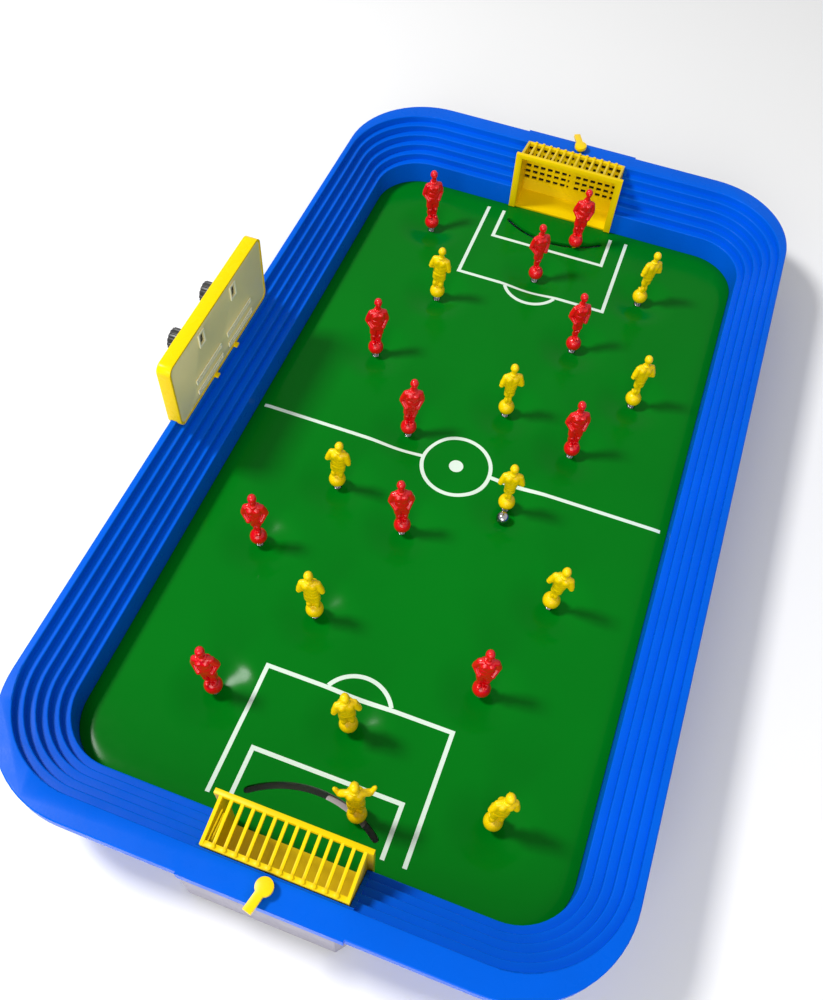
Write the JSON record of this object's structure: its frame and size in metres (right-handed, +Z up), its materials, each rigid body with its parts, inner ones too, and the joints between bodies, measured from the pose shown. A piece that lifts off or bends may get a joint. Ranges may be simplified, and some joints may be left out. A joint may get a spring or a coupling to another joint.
{
  "type": "tabletop foosball",
  "caption": "Tabletop football stadium with sprung figures standing on round bases, lever-worked goalkeepers, net goals, stepped stands, a scoreboard with dials and a steel ball.",
  "frame": {"origin": "middle of the pitch in plan, on the surface the game stands on (the underside of the centre foot)", "axes": "+Y towards the far goal, the red keeper's, +Z up, +X away from the scoreboard side"},
  "size_m": [0.3196, 0.5528, 0.0996],
  "materials": {
    "blue_frame": "glossy blue vacuum-formed plastic",
    "green_pitch": "glossy green plastic with printed white lines",
    "yellow_goal": "yellow moulded plastic",
    "yellow_figure": "glossy yellow moulded plastic",
    "red_figure": "glossy red moulded plastic",
    "spring_steel": "bright spring wire",
    "black_plastic": "black plastic",
    "zinc_screw": "zinc plated",
    "grey_strip": "grey plastic",
    "pale_slide": "pale grey plastic",
    "rubber_foot": "matt black rubber",
    "yellow_board": "bright yellow moulded plastic",
    "grey_face": "grey face plate with light edges",
    "white_dial": "white disc with black digits",
    "steel_ball": "polished steel"
  },
  "bodies": {
    "stadium": {"stadium_frame": "blue_frame", "pitch_plate": "green_pitch", "far_goal": "yellow_goal", "near_goal": "yellow_goal", "yellow_springs": "spring_steel", "red_springs": "spring_steel", "spring_seats": "black_plastic", "pitch_screws": "zinc_screw", "goal_screws": "zinc_screw", "near_lever_guard": "grey_strip", "far_lever_guard": "grey_strip", "rubber_feet": "rubber_foot", "centre_foot": "rubber_foot", "scoreboard_housing": "yellow_board", "scoreboard_face": "grey_face"},
    "near_keeper": {"near_lever": "yellow_figure", "near_lever_grip": "yellow_figure", "near_pivot_screw": "zinc_screw", "near_slide": "pale_slide", "yellow_keeper": "yellow_figure"},
    "far_keeper": {"far_lever": "yellow_figure", "far_lever_grip": "yellow_figure", "far_pivot_screw": "zinc_screw", "far_slide": "pale_slide", "red_keeper": "red_figure"},
    "dial_1": {"number_dial_1": "white_dial", "thumb_knob_1": "black_plastic"},
    "dial_2": {"number_dial_2": "white_dial", "thumb_knob_2": "black_plastic"},
    "ball": {"steel_ball": "steel_ball"},
    "yellow_01": {"yellow_player_01": "yellow_figure"},
    "yellow_02": {"yellow_player_02": "yellow_figure"},
    "yellow_03": {"yellow_player_03": "yellow_figure"},
    "yellow_04": {"yellow_player_04": "yellow_figure"},
    "yellow_05": {"yellow_player_05": "yellow_figure"},
    "yellow_06": {"yellow_player_06": "yellow_figure"},
    "yellow_07": {"yellow_player_07": "yellow_figure"},
    "yellow_08": {"yellow_player_08": "yellow_figure"},
    "yellow_09": {"yellow_player_09": "yellow_figure"},
    "yellow_10": {"yellow_player_10": "yellow_figure"},
    "red_01": {"red_player_01": "red_figure"},
    "red_02": {"red_player_02": "red_figure"},
    "red_03": {"red_player_03": "red_figure"},
    "red_04": {"red_player_04": "red_figure"},
    "red_05": {"red_player_05": "red_figure"},
    "red_06": {"red_player_06": "red_figure"},
    "red_07": {"red_player_07": "red_figure"},
    "red_08": {"red_player_08": "red_figure"},
    "red_09": {"red_player_09": "red_figure"},
    "red_10": {"red_player_10": "red_figure"}
  },
  "joints": [
    {"name": "near_lever_swing", "type": "hinge", "parent": "stadium", "child": "near_keeper", "pos_m": [0, -0.2645, 0.0106], "axis": [0, 0, 1], "range_deg": [-11.5, 56.5]},
    {"name": "far_lever_swing", "type": "hinge", "parent": "stadium", "child": "far_keeper", "pos_m": [0, 0.2645, 0.0106], "axis": [0, 0, 1], "range_deg": [-52, 16]},
    {"name": "dial_1_turn", "type": "hinge", "parent": "stadium", "child": "dial_1", "pos_m": [-0.1498, -0.021, 0.0825], "axis": [1, 0, 0], "continuous": true},
    {"name": "dial_2_turn", "type": "hinge", "parent": "stadium", "child": "dial_2", "pos_m": [-0.1498, 0.018, 0.0825], "axis": [1, 0, 0], "continuous": true},
    {"name": "yellow_01_flick", "type": "hinge", "parent": "stadium", "child": "yellow_01", "pos_m": [0.0836, -0.1928, 0.014], "axis": [1, 0, 0], "range_deg": [-25, 25], "stiffness_Nm_per_rad": 0.012, "deforming": ["yellow_springs"]},
    {"name": "yellow_02_flick", "type": "hinge", "parent": "stadium", "child": "yellow_02", "pos_m": [0.0005, -0.1724, 0.014], "axis": [1, 0, 0], "range_deg": [-25, 25], "stiffness_Nm_per_rad": 0.012, "deforming": ["yellow_springs"]},
    {"name": "yellow_03_flick", "type": "hinge", "parent": "stadium", "child": "yellow_03", "pos_m": [0.0778, -0.0676, 0.014], "axis": [1, 0, 0], "range_deg": [-25, 25], "stiffness_Nm_per_rad": 0.012, "deforming": ["yellow_springs"]},
    {"name": "yellow_04_flick", "type": "hinge", "parent": "stadium", "child": "yellow_04", "pos_m": [-0.0406, -0.1194, 0.014], "axis": [1, 0, 0], "range_deg": [-25, 25], "stiffness_Nm_per_rad": 0.012, "deforming": ["yellow_springs"]},
    {"name": "yellow_05_flick", "type": "hinge", "parent": "stadium", "child": "yellow_05", "pos_m": [0.036, -0.0151, 0.014], "axis": [0, 1, 0], "range_deg": [-25, 25], "stiffness_Nm_per_rad": 0.012, "deforming": ["yellow_springs"]},
    {"name": "yellow_06_flick", "type": "hinge", "parent": "stadium", "child": "yellow_06", "pos_m": [-0.0616, -0.0366, 0.014], "axis": [1, 0, 0], "range_deg": [-25, 25], "stiffness_Nm_per_rad": 0.012, "deforming": ["yellow_springs"]},
    {"name": "yellow_07_flick", "type": "hinge", "parent": "stadium", "child": "yellow_07", "pos_m": [0.0152, 0.0521, 0.014], "axis": [1, 0, 0], "range_deg": [-25, 25], "stiffness_Nm_per_rad": 0.012, "deforming": ["yellow_springs"]},
    {"name": "yellow_08_flick", "type": "hinge", "parent": "stadium", "child": "yellow_08", "pos_m": [0.0878, 0.0889, 0.014], "axis": [1, 0, 0], "range_deg": [-25, 25], "stiffness_Nm_per_rad": 0.012, "deforming": ["yellow_springs"]},
    {"name": "yellow_09_flick", "type": "hinge", "parent": "stadium", "child": "yellow_09", "pos_m": [0.0718, 0.178, 0.014], "axis": [1, 0, 0], "range_deg": [-25, 25], "stiffness_Nm_per_rad": 0.012, "deforming": ["yellow_springs"]},
    {"name": "yellow_10_flick", "type": "hinge", "parent": "stadium", "child": "yellow_10", "pos_m": [-0.0576, 0.1302, 0.014], "axis": [1, 0, 0], "range_deg": [-25, 25], "stiffness_Nm_per_rad": 0.012, "deforming": ["yellow_springs"]},
    {"name": "red_01_flick", "type": "hinge", "parent": "stadium", "child": "red_01", "pos_m": [-0.0836, 0.1928, 0.014], "axis": [1, 0, 0], "range_deg": [-25, 25], "stiffness_Nm_per_rad": 0.012, "deforming": ["red_springs"]},
    {"name": "red_02_flick", "type": "hinge", "parent": "stadium", "child": "red_02", "pos_m": [-0.0005, 0.1724, 0.014], "axis": [1, 0, 0], "range_deg": [-25, 25], "stiffness_Nm_per_rad": 0.012, "deforming": ["red_springs"]},
    {"name": "red_03_flick", "type": "hinge", "parent": "stadium", "child": "red_03", "pos_m": [-0.0778, 0.0676, 0.014], "axis": [1, 0, 0], "range_deg": [-25, 25], "stiffness_Nm_per_rad": 0.012, "deforming": ["red_springs"]},
    {"name": "red_04_flick", "type": "hinge", "parent": "stadium", "child": "red_04", "pos_m": [0.0406, 0.1194, 0.014], "axis": [1, 0, 0], "range_deg": [-25, 25], "stiffness_Nm_per_rad": 0.012, "deforming": ["red_springs"]},
    {"name": "red_05_flick", "type": "hinge", "parent": "stadium", "child": "red_05", "pos_m": [-0.036, 0.0151, 0.014], "axis": [1, 0, 0], "range_deg": [-25, 25], "stiffness_Nm_per_rad": 0.012, "deforming": ["red_springs"]},
    {"name": "red_06_flick", "type": "hinge", "parent": "stadium", "child": "red_06", "pos_m": [0.0616, 0.0366, 0.014], "axis": [1, 0, 0], "range_deg": [-25, 25], "stiffness_Nm_per_rad": 0.012, "deforming": ["red_springs"]},
    {"name": "red_07_flick", "type": "hinge", "parent": "stadium", "child": "red_07", "pos_m": [-0.0152, -0.0521, 0.014], "axis": [1, 0, 0], "range_deg": [-25, 25], "stiffness_Nm_per_rad": 0.012, "deforming": ["red_springs"]},
    {"name": "red_08_flick", "type": "hinge", "parent": "stadium", "child": "red_08", "pos_m": [-0.0878, -0.0889, 0.014], "axis": [1, 0, 0], "range_deg": [-25, 25], "stiffness_Nm_per_rad": 0.012, "deforming": ["red_springs"]},
    {"name": "red_09_flick", "type": "hinge", "parent": "stadium", "child": "red_09", "pos_m": [-0.0718, -0.178, 0.014], "axis": [1, 0, 0], "range_deg": [-25, 25], "stiffness_Nm_per_rad": 0.012, "deforming": ["red_springs"]},
    {"name": "red_10_flick", "type": "hinge", "parent": "stadium", "child": "red_10", "pos_m": [0.0576, -0.1302, 0.014], "axis": [1, 0, 0], "range_deg": [-25, 25], "stiffness_Nm_per_rad": 0.012, "deforming": ["red_springs"]},
    {"name": "ball_lift", "type": "slide", "parent": "stadium", "child": "ball", "axis": [0, 0, 1], "range_m": [0, 0.05]}
  ]
}
